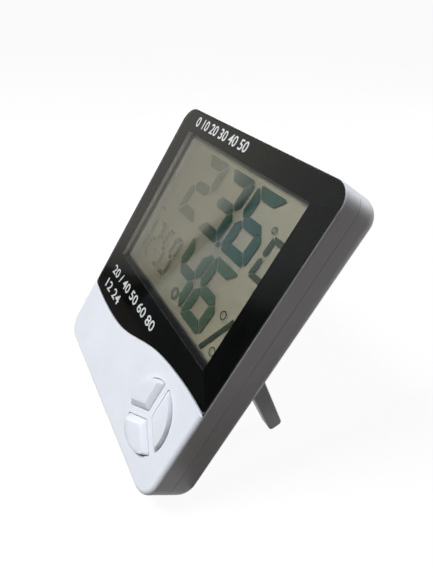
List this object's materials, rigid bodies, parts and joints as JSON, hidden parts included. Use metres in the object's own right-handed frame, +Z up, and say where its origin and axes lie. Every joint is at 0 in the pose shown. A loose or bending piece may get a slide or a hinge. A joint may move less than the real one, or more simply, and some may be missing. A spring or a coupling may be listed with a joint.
{
  "type": "thermometer hygrometer clock",
  "caption": "Flat desk and wall clock whose large liquid crystal display shows time, temperature and humidity, leaning on a fold-out rear stand.",
  "frame": {"origin": "middle of the bounding box at table level, under the clock leaning back on its open stand", "axes": "+X to the right as the reader faces the display, +Y from the front to the back, +Z up"},
  "size_m": [0.098, 0.0734, 0.0991],
  "materials": {
    "case_white": "satin, faint moulded grain",
    "key_white": "satin",
    "door_white": "satin, faint moulded grain",
    "stand_white": "satin, faint moulded grain",
    "clear_lens": "clear, polished",
    "black_print": "glossy, printed behind the lens",
    "white_tape": "soft, matte",
    "display_film": "anti-glare film",
    "display_glass": "clear",
    "display_reflector": "fine silvery grain",
    "frame_plastic": "satin",
    "strip_rubber": "layered, matte",
    "board_green": "solder mask over copper tracks",
    "black_resin": "glossy drop",
    "can_metal": "drawn, satin",
    "capacitor_sleeve": "shrunk sleeve, metal top",
    "chip_brown": "ceramic with tinned ends",
    "sensor_housing": "slotted housing",
    "bead_black": "dipped bead, tinned leads",
    "sounder_brass": "rolled disc, pale ceramic layer",
    "cell_jacket": "printed jacket, bright ends",
    "spring_steel": "nickel plated",
    "switch_black": "fine grain",
    "plunger_grey": "satin",
    "screw_steel": "zinc plated"
  },
  "bodies": {
    "case": {"front_shell": "case_white", "rear_shell": "case_white", "window_lens": "clear_lens", "lens_mask": "black_print", "lens_tape": "white_tape", "display_front_film": "display_film", "display_front_glass": "display_glass", "display_rear_glass": "display_glass", "display_reflector": "display_reflector", "display_frame": "frame_plastic", "contact_strip_upper": "strip_rubber", "contact_strip_lower": "strip_rubber", "main_board": "board_green", "controller_blob": "black_resin", "clock_crystal": "can_metal", "capacitor": "capacitor_sleeve", "chip_parts": "chip_brown", "humidity_sensor": "sensor_housing", "temperature_sensor": "bead_black", "sounder_disc": "sounder_brass", "battery_cell": "cell_jacket", "battery_contact_plate": "spring_steel", "battery_spring_plate": "spring_steel", "battery_spring": "spring_steel", "case_screws": "screw_steel", "board_screws": "screw_steel", "switch_body_mode": "switch_black", "switch_body_adjust": "switch_black", "switch_body_memory": "switch_black"},
    "stand": {"kickstand": "stand_white"},
    "door": {"battery_door": "door_white"},
    "key_mode": {"button_mode": "key_white", "switch_plunger_mode": "plunger_grey"},
    "key_adjust": {"button_adjust": "key_white", "switch_plunger_adjust": "plunger_grey"},
    "key_memory": {"button_memory": "key_white", "switch_plunger_memory": "plunger_grey"}
  },
  "joints": [
    {"name": "stand_fold", "type": "hinge", "parent": "case", "child": "stand", "pos_m": [0, 0.00344, 0.04132], "axis": [-1, 0, 0], "range_deg": [0, 54.7]},
    {"name": "door_lift", "type": "slide", "parent": "case", "child": "door", "axis": [0, 0.834, -0.5518], "range_m": [0, 0.02]},
    {"name": "press_mode", "type": "slide", "parent": "case", "child": "key_mode", "axis": [0, 0.834, -0.5518], "range_m": [0, 0.0005], "stiffness_N_per_m": 1500, "springref_m": -0.0003},
    {"name": "press_adjust", "type": "slide", "parent": "case", "child": "key_adjust", "axis": [0, 0.834, -0.5518], "range_m": [0, 0.0005], "stiffness_N_per_m": 1500, "springref_m": -0.0003},
    {"name": "press_memory", "type": "slide", "parent": "case", "child": "key_memory", "axis": [0, 0.834, -0.5518], "range_m": [0, 0.0005], "stiffness_N_per_m": 1500, "springref_m": -0.0003}
  ]
}
